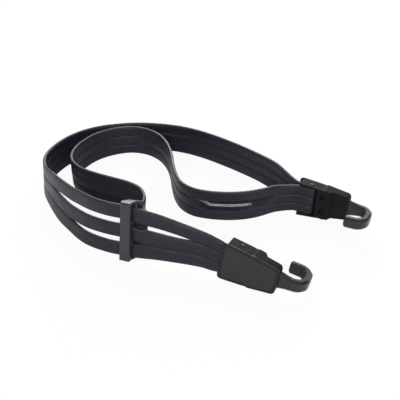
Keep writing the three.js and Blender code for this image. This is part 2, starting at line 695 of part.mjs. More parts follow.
// Front stretch: straight through the slider and on to the front hook, drawn together as it goes
function strapFront() {
  const start = inFrame(sliderFrame, HALF_GAP, 0);
  const end = inFrame(frontHookFrame, -FRONT_JOIN - HALF_GAP, LAYER);
  const places = new THREE.CatmullRomCurve3([
    start,
    inFrame(sliderFrame, STRAIGHT_RUN / 2, 0),
    inFrame(sliderFrame, STRAIGHT_RUN, 0),
    inFrame(frontHookFrame, -2 * FRONT_JOIN, LAYER),
    end,
  ], false, 'centripetal');
  const steps = 14;
  const stations = [];
  for (let i = 0; i <= steps; i += 1) {
    const middle = places.getPointAt(i / steps);
    const along = places.getTangentAt(i / steps);
    const turned = THREE.MathUtils.smoothstep(middle.x, start.x + STRAIGHT_RUN, end.x);
    const across = upright(sliderFrame).lerp(upright(frontHookFrame), turned).normalize();
    stations.push({ ...stationAt(middle, across, frontEdges(middle.x)), along });
  }
  return band(stations);
}

function strapFrontLoop() {
  const across = upright(frontHookFrame);
  const at = (u, v, edges) => stationAt(inFrame(frontHookFrame, u, v), across, edges);
  const entering = [-FRONT_JOIN + HALF_GAP, -FRONT_JOIN / 2, 0, FORK_START].map((u) => {
    const gather = THREE.MathUtils.smoothstep(u, -FRONT_JOIN, FORK_START);
    const strand = THREE.MathUtils.lerp(MOUTH_STRAND, GATHERED_STRAND, gather);
    return at(u, LAYER, strandEdges(strand, 0, 0));
  });
  return band([
    ...entering,
    at(BAR_INSET / 2, LAYER, GATHERED_EDGES),
    ...arcStations(frontHookFrame, GATHERED_EDGES, BAR_INSET, 0, LAYER, Math.PI / 2, -Math.PI / 2, 8),
    at(BAR_INSET / 2, -LAYER, GATHERED_EDGES),
    at(FORK_START + FRONT_LAP, -LAYER, GATHERED_EDGES),
  ]);
}

// Materials
function finish(color, roughness, metalness) {
  return () => new THREE.MeshStandardMaterial({ color, roughness, metalness });
}

const strapRubber = finish(0x2c2e34, 0.7, 0);
const hookNylon = finish(0x141517, 0.35, 0);
const coverNylon = finish(0x3d3f43, 0.6, 0);
const sliderNylon = finish(0x4d4f54, 0.5, 0);
const blackSteel = finish(0x3a3b3e, 0.4, 1);

// Assembly
const assembly = new THREE.Group();
assembly.name = 'luggage_strap';

function addPiece(parent, name, geometry, material) {
  const mesh = new THREE.Mesh(geometry, material());
  mesh.name = name;
  parent.add(mesh);
}

addPiece(assembly, 'strap_front', strapFront(), strapRubber);
addPiece(assembly, 'strap_front_loop', strapFrontLoop(), strapRubber);
addPiece(assembly, 'strap_outer', strapOuter(), strapRubber);
addPiece(assembly, 'strap_return', strapReturn(), strapRubber);
addPiece(assembly, 'strap_tail', strapTail(), strapRubber);

for (const [end, frame] of [['front', frontHookFrame], ['rear', rearHookFrame]]) {
  addPiece(frame, `${end}_hook`, hookBody, hookNylon);
  addPiece(frame, `${end}_cover`, coverPlate, coverNylon);
  addPiece(frame, `${end}_bar`, barGeometry(), blackSteel);
  addPiece(frame, `${end}_screw_upper`, screwGeometry(SCREW_PLACES[end === 'front' ? 0 : 1]), blackSteel);
  addPiece(frame, `${end}_screw_lower`, screwGeometry(SCREW_PLACES[end === 'front' ? 1 : 0]), blackSteel);
  assembly.add(frame);
}

addPiece(sliderFrame, 'slider', sliderRing, sliderNylon);
assembly.add(sliderFrame);

export default assembly;
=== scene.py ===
# %% [markdown]
# # An elastic luggage strap with two hooks
# One flat length of black rubber webbing, cut into three strands by two slits, lies on its edge in a
# loose loop. A moulded hook closes each end and a two-bar slider sets the length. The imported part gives
# every place and size, so this lesson loads it first and dresses each piece where it already is.

import math

import bmesh
import bpy
from mathutils import Matrix, Vector


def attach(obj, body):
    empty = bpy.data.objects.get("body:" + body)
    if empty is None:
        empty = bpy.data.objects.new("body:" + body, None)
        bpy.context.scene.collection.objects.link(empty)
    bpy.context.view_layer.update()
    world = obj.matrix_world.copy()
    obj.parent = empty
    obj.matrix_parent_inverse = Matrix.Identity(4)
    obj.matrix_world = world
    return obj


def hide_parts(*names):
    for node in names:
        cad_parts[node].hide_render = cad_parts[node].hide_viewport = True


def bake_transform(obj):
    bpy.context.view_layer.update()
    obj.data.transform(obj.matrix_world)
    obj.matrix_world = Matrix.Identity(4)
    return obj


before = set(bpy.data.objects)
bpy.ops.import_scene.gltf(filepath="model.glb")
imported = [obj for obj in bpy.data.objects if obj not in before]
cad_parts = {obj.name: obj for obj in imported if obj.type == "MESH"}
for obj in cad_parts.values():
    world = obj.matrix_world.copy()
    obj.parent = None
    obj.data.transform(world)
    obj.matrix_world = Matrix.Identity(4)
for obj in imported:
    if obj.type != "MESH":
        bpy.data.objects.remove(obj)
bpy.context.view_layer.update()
MM = 0.001
print("pieces in the packed part:", len(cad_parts))

# %% [markdown]
# ## Camera
# The strap was photographed from a little above, from the front right. A camera is a target, two angles,
# a distance and a field of view, so those five values are kept apart and the rest follows from them.

# %% Camera
CAMERA_AZIMUTH = math.radians(26)
CAMERA_ELEVATION = math.radians(34)
CAMERA_DISTANCE = 430 * MM
CAMERA_TARGET = Vector((-1.5, 13, 0)) * MM
FIELD_OF_VIEW = math.radians(37.45)

camera_data = bpy.data.cameras.new("photo_camera")
camera_data.angle = FIELD_OF_VIEW
camera = bpy.data.objects.new("photo_camera", camera_data)
bpy.context.scene.collection.objects.link(camera)
towards_camera = Vector((
    math.sin(CAMERA_AZIMUTH) * math.cos(CAMERA_ELEVATION),
    -math.cos(CAMERA_AZIMUTH) * math.cos(CAMERA_ELEVATION),
    math.sin(CAMERA_ELEVATION),
))
camera.location = CAMERA_TARGET + CAMERA_DISTANCE * towards_camera
camera.rotation_euler = towards_camera.to_track_quat("Z", "Y").to_euler()
bpy.context.scene.camera = camera
print("camera stands at", [round(value, 3) for value in camera.location])

# %% [markdown]
# ## The strap's route
# The strap is one length of webbing that runs from the front hook through the slider, round the loop and
# the rear hook, and back to the slider. It could be left to a simulation, but how it lies is seen. So its
# shape is a route and a lean: a short list of points along the floor, each with the height of
# the strap's lower edge and its lean. Half circles round the bars of the fittings join the lists.

# %% Sizes of the strap
STRAND_WIDTH = 8 * MM
STRAP_THICKNESS = 2.6 * MM
HALF_STRAP = STRAP_THICKNESS / 2
CLEARANCE = 0.3 * MM
STRAIGHT_RUN = 16 * MM
LAP_LENGTH = 13 * MM
# Slack strands and open slits to the left of the slider
SPREAD_STRAND = 9.3 * MM
SPREAD_START_X = -109 * MM
SPREAD_FULL_X = -87 * MM
SLIT_OPENING = 3.5 * MM
SPREAD_WIDTH = 3 * SPREAD_STRAND + 2 * SLIT_OPENING
UPPER_SLIT_END_X = -88 * MM
LOWER_SLIT_END_X = -63 * MM
SLIT_TAPER = 40 * MM
# From the slider to the front hook
FRONT_SLIT_OPENING = 2.9 * MM
FRONT_SLIT_END_X = 27 * MM
LOWER_SLIT_RUN_OUT = 9 * MM
FRONT_GATHER_X = 41 * MM
FRONT_JOIN = 6 * MM
FRONT_LAP = 1 * MM
FORK_START = 2.5 * MM
# Where the hooks gather the strands
MOUTH_STRAND = 7.6 * MM
GATHERED_STRAND = 6.7 * MM
GATHER_LENGTH = 22 * MM
print("strap beside the slider:", round(SPREAD_WIDTH / MM, 1), "mm wide")

# %% Fittings that the strap runs through
SLIDER_PLACE = Vector((-12, -62.8, 18.771)) * MM
SLIDER_LEAN = math.radians(12)
SLIDER_TURN = math.radians(7.5)
FRONT_HOOK_PLACE = Vector((46.5, -53, 13.832)) * MM
FRONT_HOOK_LEAN = math.radians(10)
FRONT_HOOK_DIP = math.radians(6.5)
REAR_HOOK_PLACE = Vector((64.8, 30, 12.86)) * MM
REAR_HOOK_LEAN = math.radians(-4.5)
BAR_INSET = 10 * MM
BAR_RADIUS = 1.2 * MM
LAYER = BAR_RADIUS + CLEARANCE + HALF_STRAP

SLIDER_ROLL = Matrix.Rotation(-SLIDER_LEAN, 3, "X")
SLIDER_FRAME = (SLIDER_PLACE, Matrix.Rotation(SLIDER_TURN, 3, "Z") @ SLIDER_ROLL)
FRONT_ROLL = Matrix.Rotation(math.pi - FRONT_HOOK_LEAN, 3, "X")
FRONT_FRAME = (FRONT_HOOK_PLACE, Matrix.Rotation(FRONT_HOOK_DIP, 3, "Y") @ FRONT_ROLL)
REAR_FRAME = (REAR_HOOK_PLACE, Matrix.Rotation(REAR_HOOK_LEAN, 3, "X"))
FITTINGS = {"front": FRONT_FRAME, "rear": REAR_FRAME}


def in_frame(fitting, along, through, across=0.0):
    """A point in the part, from its place in the frame of a fitting."""
    origin, turn = fitting
    return origin + turn @ Vector((along, through, across))


def upright(fitting):
    """The direction across the strap's width inside a fitting, pointing up."""
    direction = in_frame(fitting, 0, 0, 1) - fitting[0]
    return direction if direction.z > 0 else -direction


print("strap layers stand", round(2 * LAYER / MM, 2), "mm apart round a hook's bar")

# %% Points of the route
# x, y and height of the lower edge in millimetres, and the lean in degrees to the right of travel
OUTER_ROUTE = [
    (-43.5, -63, 0.9, 15), (-59.5, -57, 0.6, 16), (-75.5, -49.5, 0.4, 15), (-90.8, -40.3, 0.2, 11),
    (-106.3, -28.7, 0, 7), (-115.2, -16, 0, 3), (-118.2, -1, 0, 0), (-118, 13.2, 0, 0),
    (-114.5, 26.6, 0, 0), (-107.5, 38.8, 0, 0), (-96.6, 49.6, 0, 0), (-81.7, 59.5, 0, 0),
    (-64.2, 66.4, 0, 0), (-46, 70, 0, 0), (-27.5, 69.6, 0, 0), (-8.5, 66.2, 0, 0),
    (10.5, 61, 0.2, 1), (28.5, 54.4, 0.6, 2), (42, 47.7, 1, 0), (53, 40.2, 1.5, -1),
]
INNER_ROUTE = [
    (57.4, 24.4, 1.7, 0), (51.6, 19.4, 1.2, -2), (46.5, 12.6, 0.8, -4), (39.7, 6, 0.5, -4),
    (31.8, 0.7, 0.3, -4), (22.5, -3.3, 0, -4), (12.5, -6.3, 0, -4), (2.5, -7, 0, -3),
    (-7.6, -3.5, 0, -2), (-16.4, 4.6, 0, 0), (-24.8, 15.9, 0, 0), (-33.4, 29, 0, 0),
    (-43.8, 41.4, 0, 0), (-55.8, 50.4, 0, 0), (-68.9, 54.2, 0, 0), (-82.5, 51.8, 0, 0),
    (-93.3, 42.8, 0, 0), (-100.8, 30, 0, 0), (-103.3, 13.5, 0, 0), (-100.8, -1, 0, 0),
    (-95, -10.4, 0, 0), (-86, -16.8, 0.2, 0), (-76, -20.1, 0.6, 0), (-63.5, -21.9, 1.2, -1),
    (-50.5, -22.8, 1.8, -2), (-38, -23.9, 2.4, -3), (-27.5, -27.2, 2.8, -4), (-20, -34.6, 3, -5),
]
TAIL_START_ROW = 23
print("hand-set points:", len(OUTER_ROUTE) + len(INNER_ROUTE))

# %% [markdown]
# ## Width of the strap
# The strands lie closed along most of the strap, stand apart beside the slider and are drawn together in
# the hooks. One rule could hold all of it, but each stretch is simpler alone. So every stretch has its own
# rule for the edges of the three strands, picked by where the strap is on the floor.

# %% Edges of the strands
BACK_LIMIT_Y = -25 * MM
SLIT_END_POWER = 2
FRONT_SLIT_POWER = 4


def clamp_share(value, low, high):
    """How far a value is on its way from low to high, from 0 to 1."""
    return min(max((value - low) / (high - low), 0.0), 1.0)


def smoothstep(value, low, high):
    """The same share, with a soft start and end."""
    share = clamp_share(value, low, high)
    return share * share * (3 - 2 * share)


def strand_edges(strand, upper_gap, lower_gap):
    """Lower and upper edge of each strand, from the strap's lower edge to its upper edge."""
    widths = [strand, lower_gap, strand, upper_gap, strand]
    edges = [-sum(widths) / 2]
    for width in widths:
        edges.append(edges[-1] + width)
    return edges


def slit_share(x, end):
    """A slit opens fast from its end and then keeps an even width up to the slider."""
    return 1 - (1 - clamp_share(x, end, end + SLIT_TAPER)) ** SLIT_END_POWER


def left_edges(place):
    """Beside the slider the slack strands are a little wider and stand apart."""
    upper = slit_share(place.x, UPPER_SLIT_END_X)
    lower = slit_share(place.x, LOWER_SLIT_END_X)
    slack = smoothstep(place.x, SPREAD_START_X, SPREAD_FULL_X)
    strand = STRAND_WIDTH + (SPREAD_STRAND - STRAND_WIDTH) * slack
    return strand_edges(strand, SLIT_OPENING * upper, SLIT_OPENING * lower)


def front_edges(place):
    """From the slider to the front hook the strap narrows and its slits run out, the lower one first."""
    if place.x > FRONT_GATHER_X:
        gather = smoothstep(place.x, FRONT_GATHER_X, FRONT_HOOK_PLACE.x + FORK_START)
        return strand_edges(MOUTH_STRAND + (GATHERED_STRAND - MOUTH_STRAND) * gather, 0, 0)
    slider_x = SLIDER_PLACE.x
    width = SPREAD_WIDTH
    width += (3 * MOUTH_STRAND - SPREAD_WIDTH) * clamp_share(place.x, slider_x, FRONT_GATHER_X)
    slack = (1 - clamp_share(place.x, slider_x, slider_x + LOWER_SLIT_RUN_OUT)) ** SLIT_END_POWER
    closing = clamp_share(place.x, slider_x, FRONT_SLIT_END_X) ** FRONT_SLIT_POWER
    upper_gap = FRONT_SLIT_OPENING * (1 - closing)
    upper_gap += (SLIT_OPENING - FRONT_SLIT_OPENING) * slack
    lower_gap = SLIT_OPENING * slack
    return strand_edges((width - upper_gap - lower_gap) / 3, upper_gap, lower_gap)


def back_edges(place):
    """The rest is closed, and the rear hook gathers it."""
    gather = smoothstep(place.x, REAR_HOOK_PLACE.x - GATHER_LENGTH, REAR_HOOK_PLACE.x)
    return strand_edges(STRAND_WIDTH + (GATHERED_STRAND - STRAND_WIDTH) * gather, 0, 0)


def strap_edges(place):
    """Picks the rule for the width from where the strap is on the floor."""
    if place.y > BACK_LIMIT_Y:
        return back_edges(place)
    if place.x > SLIDER_PLACE.x:
        return front_edges(place)
    return left_edges(place)


print("slits open up to", round(SLIT_OPENING / MM, 1), "mm")

# %% Roll of the middle strand
RUN_TWIST = math.radians(36)
RUN_START_X = 3 * MM
RUN_END_X = 56.5 * MM
RUN_EASE = 13 * MM
RUN_LIMIT_Y = 22 * MM


def roll_share(place):
    """In the S bend the middle strand rolls and rounds, so that it catches the light."""
    if not BACK_LIMIT_Y < place.y < RUN_LIMIT_Y:
        return 0.0
    start = smoothstep(place.x, RUN_START_X, RUN_START_X + RUN_EASE)
    end = smoothstep(place.x, RUN_END_X - RUN_EASE, RUN_END_X)
    return start * (1 - end)


print("the middle strand rolls by up to", round(math.degrees(RUN_TWIST)), "degrees")

# %% [markdown]
# ## A smooth line through the route
# Rubber webbing bends evenly, so the listed points need a curve without corners. A curve object could
# hold the points, but its lean is hard to set. So each point becomes a station with a place and an across
# direction, and both are passed through one curve whose knots follow the distance between stations.

# %% From points to stations
STATION_STEP = 1.6 * MM
ARC_STEPS = 8


def route_stations(rows, edges_of):
    """Middle point and across direction at each listed row."""
    stations = []
    for index, (x, y, lift, lean) in enumerate(rows):
        before = rows[max(index - 1, 0)]
        after = rows[min(index + 1, len(rows) - 1)]
        along = Vector((after[0] - before[0], after[1] - before[1], 0)).normalized()
        lean = math.radians(lean)
        across = Vector((along.y * math.sin(lean), -along.x * math.sin(lean), math.cos(lean)))
        place = Vector((x, y, lift)) * MM
        place.z += HALF_STRAP * abs(math.sin(lean)) - edges_of(place)[0] * math.cos(lean)
        stations.append((place, across))
    return stations


def arc_stations(fitting, centre, radius, start, end):
    """Stations of a bend round a bar, as a share of a circle in the fitting's frame."""
    stations = []
    for index in range(ARC_STEPS + 1):
        angle = start + (end - start) * index / ARC_STEPS
        along = centre[0] + radius * math.cos(angle)
        through = centre[1] + radius * math.sin(angle)
        stations.append((in_frame(fitting, along, through), upright(fitting)))
    return stations


def frame_stations(fitting, places):
    """Stations at places that are given in the fitting's frame."""
    return [(in_frame(fitting, along, through), upright(fitting)) for along, through in places]


print("each bend round a bar has", ARC_STEPS + 1, "stations")

# %% From stations to a smooth line


def curve_point(knots, t, p0, p1, p2, p3):
    """One point of a curve that passes through p1 and p2, with knots spaced by distance."""
    t0, t1, t2, t3 = knots
    a1 = p0 * ((t1 - t) / (t1 - t0)) + p1 * ((t - t0) / (t1 - t0))
    a2 = p1 * ((t2 - t) / (t2 - t1)) + p2 * ((t - t1) / (t2 - t1))
    a3 = p2 * ((t3 - t) / (t3 - t2)) + p3 * ((t - t2) / (t3 - t2))
    b1 = a1 * ((t2 - t) / (t2 - t0)) + a2 * ((t - t0) / (t2 - t0))
    b2 = a2 * ((t3 - t) / (t3 - t1)) + a3 * ((t - t1) / (t3 - t1))
    return b1 * ((t2 - t) / (t2 - t1)) + b2 * ((t - t1) / (t2 - t1))


def smooth_line(stations):
    """Passes one even curve through all stations, and gives place, across and along at each step."""
    first = 2 * stations[0][0] - stations[1][0], stations[0][1]
    last = 2 * stations[-1][0] - stations[-2][0], stations[-1][1]
    padded = [first, *stations, last]
    points = []
    for p0, p1, p2, p3 in zip(padded, padded[1:], padded[2:], padded[3:]):
        knots = [0.0]
        for a, b in ((p0, p1), (p1, p2), (p2, p3)):
            knots.append(knots[-1] + math.sqrt((b[0] - a[0]).length))
        count = max(2, math.ceil((p2[0] - p1[0]).length / STATION_STEP))
        for index in range(count):
            t = knots[1] + (knots[2] - knots[1]) * index / count
            points.append([curve_point(knots, t, p0[k], p1[k], p2[k], p3[k]) for k in (0, 1)])
    points.append(stations[-1])
    line = []
    for index, (place, across) in enumerate(points):
        along = points[min(index + 1, len(points) - 1)][0] - points[max(index - 1, 0)][0]
        line.append((place, across, along.normalized()))
    return line


def line_length(line):
    """Length along the middle of a line."""
    return sum((b[0] - a[0]).length for a, b in zip(line, line[1:]))


print("points on the line stand about", round(STATION_STEP / MM, 1), "mm apart, or closer")

# %% The fold round the slider's rear bar
QUARTER = math.pi / 2
REAR_BAR_WIDTH = 4 * MM
REAR_BAR_THICKNESS = 2.6 * MM
REAR_BAR_AHEAD = 2.5 * MM
REAR_BAR_WRAP = math.hypot(REAR_BAR_WIDTH, REAR_BAR_THICKNESS) / 2 + CLEARANCE + HALF_STRAP
REAR_BAR = (REAR_BAR_AHEAD, STRAP_THICKNESS + CLEARANCE + REAR_BAR_WRAP)
NECK_ANGLE = math.radians(65)
NECK = Vector((-math.cos(NECK_ANGLE), math.sin(NECK_ANGLE)))
SIDE = Vector((NECK.y, -NECK.x))
NECK_HALF = HALF_STRAP + CLEARANCE / 2
NECK_MID = (NECK_HALF + REAR_BAR_WRAP) / 2
NECK_CLOSED_SHARE = 0.7
NECK_OPEN_SHARE = 0.35


def neck_place(reach, offset):
    """A place on the fold's neck, where its two layers lie together."""
    place = Vector(REAR_BAR) + NECK * reach + SIDE * offset
    return place.x, place.y


def neck_stations(side):
    """One layer of the neck, from its far end to where it parts to go round the bar."""
    return frame_stations(SLIDER_FRAME, [
        neck_place(LAP_LENGTH, side * NECK_HALF),
        neck_place(NECK_CLOSED_SHARE * LAP_LENGTH, side * NECK_HALF),
        neck_place(NECK_OPEN_SHARE * LAP_LENGTH, side * NECK_MID),
    ])


fold_start = QUARTER - NECK_ANGLE
fold_stations = [
    *neck_stations(1),
    *arc_stations(SLIDER_FRAME, REAR_BAR, REAR_BAR_WRAP, fold_start, fold_start - 2 * QUARTER),
    *reversed(neck_stations(-1)),
]
print("the fold wraps", round(2 * REAR_BAR_WRAP / MM, 2), "mm across")

# %% The whole strap on one line, cut where its tail starts
inner_stations = route_stations(INNER_ROUTE, back_edges)
strap_stations = [
    *frame_stations(FRONT_FRAME, [(FORK_START + FRONT_LAP, -LAYER), (BAR_INSET / 2, -LAYER)]),
    *arc_stations(FRONT_FRAME, (BAR_INSET, 0), LAYER, -QUARTER, QUARTER),
    *frame_stations(FRONT_FRAME, [(BAR_INSET / 2, LAYER), (0, LAYER)]),
    *frame_stations(FRONT_FRAME, [(-FRONT_JOIN, LAYER), (-2 * FRONT_JOIN, LAYER)]),
    *frame_stations(SLIDER_FRAME, [(STRAIGHT_RUN, 0), (STRAIGHT_RUN / 2, 0), (0, 0)]),
    *frame_stations(SLIDER_FRAME, [(-STRAIGHT_RUN / 2, 0), (-STRAIGHT_RUN, 0)]),
    *route_stations(OUTER_ROUTE, strap_edges),
    *frame_stations(REAR_FRAME, [(0, LAYER), (BAR_INSET / 2, LAYER)]),
    *arc_stations(REAR_FRAME, (BAR_INSET, 0), LAYER, QUARTER, -QUARTER),
    *frame_stations(REAR_FRAME, [(BAR_INSET / 2, -LAYER), (0, -LAYER)]),
    *inner_stations,
    *fold_stations,
]
whole_line = smooth_line(strap_stations)
tail_start = inner_stations[TAIL_START_ROW][0]
cut = min(range(len(whole_line)), key=lambda index: (whole_line[index][0] - tail_start).length)
main_line = whole_line[:cut + 1]
tail_line = whole_line[cut:]
print("main strap", round(line_length(main_line), 3), "m, tail", round(line_length(tail_line), 3), "m")

# %% [markdown]
# ## The webbing itself
# Each strand is a soft-cornered rubber bar. A beveled curve could make it, but then its thickness would
# change with its width. So a flat grid is bent into a tube along the line: the grid's length runs along
# the strap and its width round the strand. The grid keeps its own texture map, which the rubber's fine
# lines follow later. Closed strands overlap a little, so a shallow groove shows between them. Where the
# middle strand rolls, each point also keeps how far, because the rubber shines there.

# %% One strand along a line
STRAND_SIDES = 28
STRAND_OVERLAP = 0.08 * MM
CORNER_POWER = 0.55
# The edges are numbered from 0 at the bottom to 5 at the top, and a strand goes by its lower one
STRAND_LOW_EDGES = (0, 2, 4)
MIDDLE_STRAND = 2
TOP_EDGE = 5


def soft_corner(value, power):
    """Moves a sine or cosine towards its limits, which squares a circle with soft corners."""
    return math.copysign(abs(value) ** power, value)


def strand_limits(edges, low):
    """Lower and upper limit of one strand, which runs a little into a neighbour that it touches."""
    high = low + 1
    below = edges[low]
    above = edges[high]
    if low > 0 and edges[low] - edges[low - 1] < STRAND_OVERLAP:
        below -= STRAND_OVERLAP
    if high < TOP_EDGE and edges[high + 1] - edges[high] < STRAND_OVERLAP:
        above += STRAND_OVERLAP
    return below, above


def add_strand(mesh, line, edges_of, low, polish):
    """Bends one grid into the tube of the strand whose lower edge has this number."""
    last = len(line) - 1
    made = bmesh.ops.create_grid(mesh, x_segments=last, y_segments=STRAND_SIDES, size=1, calc_uvs=True)
    for vertex in made["verts"]:
        middle, across, along = line[round((vertex.co.x + 1) / 2 * last)]
        angle = math.pi * (vertex.co.y + 1)
        through = along.cross(across).normalized()
        across = through.cross(along).normalized()
        below, above = strand_limits(edges_of(middle), low)
        roll = roll_share(middle) if low == MIDDLE_STRAND else 0.0
        vertex[polish] = roll
        twist = RUN_TWIST * roll
        power = CORNER_POWER + (1 - CORNER_POWER) * roll
        wide = (above - below) / 2 * soft_corner(math.cos(angle), power)
        thick = HALF_STRAP * soft_corner(math.sin(angle), power)
        offset = (below + above) / 2 + wide * math.cos(twist) - thick * math.sin(twist)
        depth = wide * math.sin(twist) + thick * math.cos(twist)
        vertex.co = middle + across * offset + through * depth


print("each strand has", STRAND_SIDES, "sides")

# %% Straps of three strands
MERGE_DISTANCE = 0.001 * MM


def add_piece(name, mesh):
    """Turns a finished bmesh into an object at the origin."""
    data = bpy.data.meshes.new(name)
    mesh.to_mesh(data)
    mesh.free()
    piece = bpy.data.objects.new(name, data)
    bpy.context.scene.collection.objects.link(piece)
    print(name, "has", len(data.polygons), "faces")
    return piece


def make_strap(name, line, edges_of):
    """A strap of three strands as one mesh with closed ends."""
    mesh = bmesh.new()
    mesh.loops.layers.uv.new("along_and_round")
    polish = mesh.verts.layers.float.new("polish")
    for low in STRAND_LOW_EDGES:
        add_strand(mesh, line, edges_of, low, polish)
    bmesh.ops.remove_doubles(mesh, verts=mesh.verts, dist=MERGE_DISTANCE)
    open_edges = [edge for edge in mesh.edges if edge.is_boundary]
    bmesh.ops.holes_fill(mesh, edges=open_edges, sides=0)
    bmesh.ops.recalc_face_normals(mesh, faces=mesh.faces)
    for face in mesh.faces:
        face.smooth = len(face.verts) == 4
    for edge in open_edges:
        edge.smooth = False
    return add_piece(name, mesh)


strap = make_strap("strap_webbing", main_line, strap_edges)
strap_end = make_strap("strap_tail_webbing", tail_line, back_edges)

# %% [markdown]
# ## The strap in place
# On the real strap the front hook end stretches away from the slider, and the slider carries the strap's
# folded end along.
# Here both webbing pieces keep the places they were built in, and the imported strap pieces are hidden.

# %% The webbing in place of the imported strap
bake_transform(strap)
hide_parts("strap_outer", "strap_return", "strap_front", "strap_front_loop")
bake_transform(strap_end)
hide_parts("strap_tail")
print("strap pieces:", strap.name, strap_end.name)

# %% [markdown]
# ## Hooks and slider
# These are nylon mouldings, and no edge that comes out of a mould is sharp. Their solids could be modelled
# again, but the shapes are right already. So each solid is copied, its loose triangles are joined into
# whole faces, and the sharp edges are rounded, which lets them catch the light. A hook's shank is polished
# and its block is matte, so its faces are cut where the cover ends and the block gets its own finish.

# %% Rounded copies of the mouldings
SHARP_ANGLE = math.radians(28)
FLAT_ANGLE = math.radians(1.5)
JOIN_DISTANCE = 0.02 * MM
CUT_DISTANCE = 0.0001 * MM
FLAT_WEIGHT = 80
COVER_LENGTH = 36.5 * MM
HOOK_ROUNDING = 0.35 * MM
SLIDER_ROUNDING = 0.5 * MM
MOULDING_SEGMENTS = 3


def whole_faces(node):
    """A copy of a solid with its triangles joined into flat faces."""
    mesh = bmesh.new()
    mesh.from_mesh(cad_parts[node].data)
    bmesh.ops.remove_doubles(mesh, verts=mesh.verts, dist=JOIN_DISTANCE)
    bmesh.ops.dissolve_limit(mesh, angle_limit=FLAT_ANGLE, verts=mesh.verts, edges=mesh.edges)
    return mesh


def round_edges(mesh, radius, segments):
    """Rounds every edge that is sharper than the sharp angle."""
    sharp = [edge for edge in mesh.edges if edge.is_manifold and edge.calc_face_angle() > SHARP_ANGLE]
    bmesh.ops.bevel(mesh, geom=sharp, offset=radius, offset_type="OFFSET", segments=segments, profile=0.5,
                    affect="EDGES", clamp_overlap=True, material=-1)
    for face in mesh.faces:
        face.smooth = True


def keep_flats(piece):
    """Lets large flat faces set the shading, so that only the rounded edges look round."""
    shading = piece.modifiers.new("flat_faces_first", "WEIGHTED_NORMAL")
    shading.weight = FLAT_WEIGHT


def mark_block(mesh, fitting):
    """Cuts a hook's faces where its cover ends, and gives the second finish to the block behind it."""
    place, turn = fitting
    along = turn @ Vector((1, 0, 0))
    cover_end = place + along * COVER_LENGTH
    everything = [*mesh.verts, *mesh.edges, *mesh.faces]
    bmesh.ops.bisect_plane(mesh, geom=everything, dist=CUT_DISTANCE, plane_co=cover_end, plane_no=along)
    for face in mesh.faces:
        reach = (face.calc_center_median() - place).dot(along)
        face.material_index = int(reach < COVER_LENGTH)


def make_moulding(name, node, body, radius, fitting=None):
    """A rounded copy of a node that rides on its body. A hook also gives its fitting."""
    mesh = whole_faces(node)
    round_edges(mesh, radius, MOULDING_SEGMENTS)
    if fitting:
        mark_block(mesh, fitting)
    piece = add_piece(name, mesh)
    keep_flats(piece)
    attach(piece, body)
    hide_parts(node)
    return piece


mouldings = {}
for end, fitting in FITTINGS.items():
    name = end + "_hook"
    mouldings[name] = make_moulding(name + "_moulding", name, name, HOOK_ROUNDING, fitting)
mouldings["slider"] = make_moulding("slider_moulding", "slider", "slider", SLIDER_ROUNDING)

# %% [markdown]
# ## Cover plates
# The plate that closes each hook has a smooth border and a panel that is sunk a little and grained by
# spark erosion in the mould. The panel could be painted on, but a real step shows from any side. Two
# insets of the outer face make it: one for the border and a narrow one for the step.

# %% Covers with a sunk panel
PANEL_BORDER = 1.3 * MM
PANEL_STEP = 0.12 * MM
PANEL_SINK = 0.18 * MM
COVER_ROUNDING = 0.2 * MM
COVER_SEGMENTS = 2
FACING_OUT = 0.99


def make_cover(end):
    """The cover of one end, with its border and its sunk panel."""
    mesh = whole_faces(end + "_cover")
    outwards = FITTINGS[end][1] @ Vector((0, 1, 0))
    mesh.normal_update()
    outer = [face for face in mesh.faces if face.normal.dot(outwards) > FACING_OUT]
    panel = max(outer, key=lambda face: face.calc_area())
    for width, sink in ((PANEL_BORDER, 0), (PANEL_STEP, PANEL_SINK)):
        bmesh.ops.inset_region(mesh, faces=[panel], thickness=width, depth=-sink, use_even_offset=True)
    panel.material_index = 1
    round_edges(mesh, COVER_ROUNDING, COVER_SEGMENTS)
    piece = add_piece(end + "_cover_plate", mesh)
    keep_flats(piece)
    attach(piece, end + "_hook")
    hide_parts(end + "_cover")
    return piece


for end in FITTINGS:
    mouldings[end + "_cover"] = make_cover(end)

# %% [markdown]
# ## Screws
# Two small pan-head screws hold each cover to its hook. A plain cylinder could stand in for one, but the
# cross in the head is what makes a screw read as one. It starts as a grid of nine squares, five of which
# are pushed in, and rings of edges bridged outwards and down make the head and the shank.

# %% Sizes of a screw
SCREW_INSET = 19.5 * MM
SCREW_SPREAD = 11 * MM
SCREW_RADIUS = 1 * MM
SCREW_HEAD_RADIUS = 1.9 * MM
SCREW_HEAD_HEIGHT = 1.1 * MM
SCREW_LENGTH = 9.2 * MM
SCREW_SIDES = 24
BODY_BACK = 3.9 * MM
DRIVE_SQUARES = 3
DRIVE_HALF = 1.05 * MM
DRIVE_DEPTH = 0.75 * MM
DRIVE_DRAFT = 0.08 * MM
# Radius and height of each ring, from the top of the head to the tip
SCREW_RINGS = [
    (0.72 * SCREW_HEAD_RADIUS, SCREW_HEAD_HEIGHT),
    (0.9 * SCREW_HEAD_RADIUS, 0.82 * SCREW_HEAD_HEIGHT),
    (SCREW_HEAD_RADIUS, 0.45 * SCREW_HEAD_HEIGHT),
    (SCREW_HEAD_RADIUS, 0),
    (SCREW_RADIUS, 0),
    (SCREW_RADIUS, -SCREW_LENGTH),
]
# Turns a head that points up so that it points out of the hook's back
HEAD_BACKWARDS = Matrix(((1, 0, 0), (0, 0, -1), (0, 1, 0)))
print("screw heads are", round(2 * SCREW_HEAD_RADIUS / MM, 1), "mm wide")

# %% Screws with a cross


